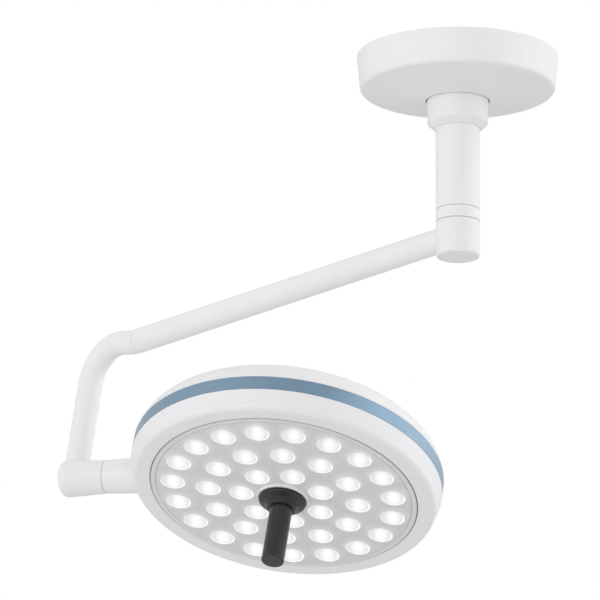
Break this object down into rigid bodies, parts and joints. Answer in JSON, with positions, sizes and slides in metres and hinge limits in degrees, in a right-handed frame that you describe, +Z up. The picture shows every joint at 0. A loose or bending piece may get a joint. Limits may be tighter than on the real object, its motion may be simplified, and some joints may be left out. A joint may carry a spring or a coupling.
{
  "type": "surgical light",
  "caption": "Ceiling-mounted surgical light: round canopy, drop tube, horizontal arm, bent elbow, swivelling barrel and a tilting round LED head with a pull-off sterile handle.",
  "frame": {"origin": "centre of the ceiling plate's top face, on the ceiling, where the drop tube's axis meets it", "axes": "+Z up into the ceiling along the drop tube; at rest the horizontal arm points along -X, and the lamp head is rolled and tilted a little towards -Y"},
  "size_m": [1.0398, 0.5265, 0.6818],
  "materials": {
    "white_paint": "satin powder coat",
    "white_shell": "satin moulded, white",
    "white_canopy": "satin moulded, white",
    "accent_blue": "satin, grey-blue",
    "panel_grey": "matte, light grey",
    "ring_grey": "satin, light grey",
    "lens_clear": "clear moulded lens, lit",
    "led_yellow": "satin",
    "socket_white": "satin",
    "handle_black": "fine matte, black",
    "black_rubber": "matte",
    "grey_rubber": "matte",
    "washer_grey": "matte",
    "steel": "brushed",
    "zinc_screw": "zinc plated",
    "bronze": "satin bronze",
    "aluminium": "satin",
    "pcb_green": "satin",
    "pcb_white": "white solder mask",
    "supply_case": "satin",
    "terminal_beige": "matte"
  },
  "bodies": {
    "root": {"ceiling_plate": "steel", "mast_flange": "steel", "flange_bolts": "zinc_screw", "drop_tube": "white_paint", "canopy": "white_canopy", "canopy_clips": "steel", "clip_screws": "zinc_screw", "canopy_collar": "white_paint", "set_screws": "zinc_screw", "power_supply": "supply_case", "mains_terminal": "terminal_beige", "mast_cables": "black_rubber", "spindle": "steel", "spindle_nut": "steel", "mast_seam_washer": "washer_grey", "brake_collar": "white_paint"},
    "arm": {"hub_washer": "washer_grey", "hub_housing": "white_paint", "hub_cap": "white_paint", "stop_pin": "steel", "hub_bushes": "bronze", "thrust_washer": "steel", "arm_tube": "white_paint", "arm_end_socket": "steel", "roll_bushes": "bronze", "roll_washer": "washer_grey", "roll_lock_screw": "zinc_screw", "arm_cable": "black_rubber"},
    "elbow": {"elbow_tube": "white_paint", "roll_spigot": "steel", "roll_retainer": "steel", "leg_spindle": "steel", "leg_cable": "black_rubber"},
    "barrel": {"barrel": "white_paint", "barrel_bushes": "bronze", "barrel_lock_screws": "zinc_screw", "tilt_washer": "washer_grey"},
    "head": {"neck": "white_paint", "tilt_shaft": "steel", "head_cable": "black_rubber", "head_screws": "zinc_screw", "upper_housing": "white_shell", "accent_band": "accent_blue", "bezel": "white_shell", "panel_gasket": "grey_rubber", "retaining_ring": "ring_grey", "lens_plate": "panel_grey", "led_lenses": "lens_clear", "led_board": "pcb_white", "led_chips": "led_yellow", "heat_sink": "aluminium", "standoffs": "zinc_screw", "standoff_screws": "zinc_screw", "head_frame": "aluminium", "driver_board": "pcb_green", "handle_post": "steel", "handle_seal": "black_rubber", "handle_socket": "socket_white"},
    "handle": {"handle_guard": "handle_black", "handle_grip": "handle_black"}
  },
  "joints": [
    {"name": "arm_swing", "type": "hinge", "parent": "root", "child": "arm", "pos_m": [0, 0, -0.287], "axis": [0, 0, 1], "range_deg": [-165, 165]},
    {"name": "elbow_roll", "type": "hinge", "parent": "arm", "child": "elbow", "pos_m": [-0.748, 0, -0.287], "axis": [1, 0, 0], "range_deg": [-24, 46]},
    {"name": "barrel_swivel", "type": "hinge", "parent": "elbow", "child": "barrel", "pos_m": [-0.8556, -0.04057, -0.49569], "axis": [0, 0.1908, 0.9816], "range_deg": [-180, 120]},
    {"name": "head_tilt", "type": "hinge", "parent": "barrel", "child": "head", "pos_m": [-0.81106, -0.01481, -0.49795], "axis": [0.8648, 0.5001, -0.0439], "range_deg": [-26.9, 43.1]},
    {"name": "handle_pull_off", "type": "slide", "parent": "head", "child": "handle", "axis": [0.1153, -0.283, -0.9522], "range_m": [0, 0.085]}
  ]
}
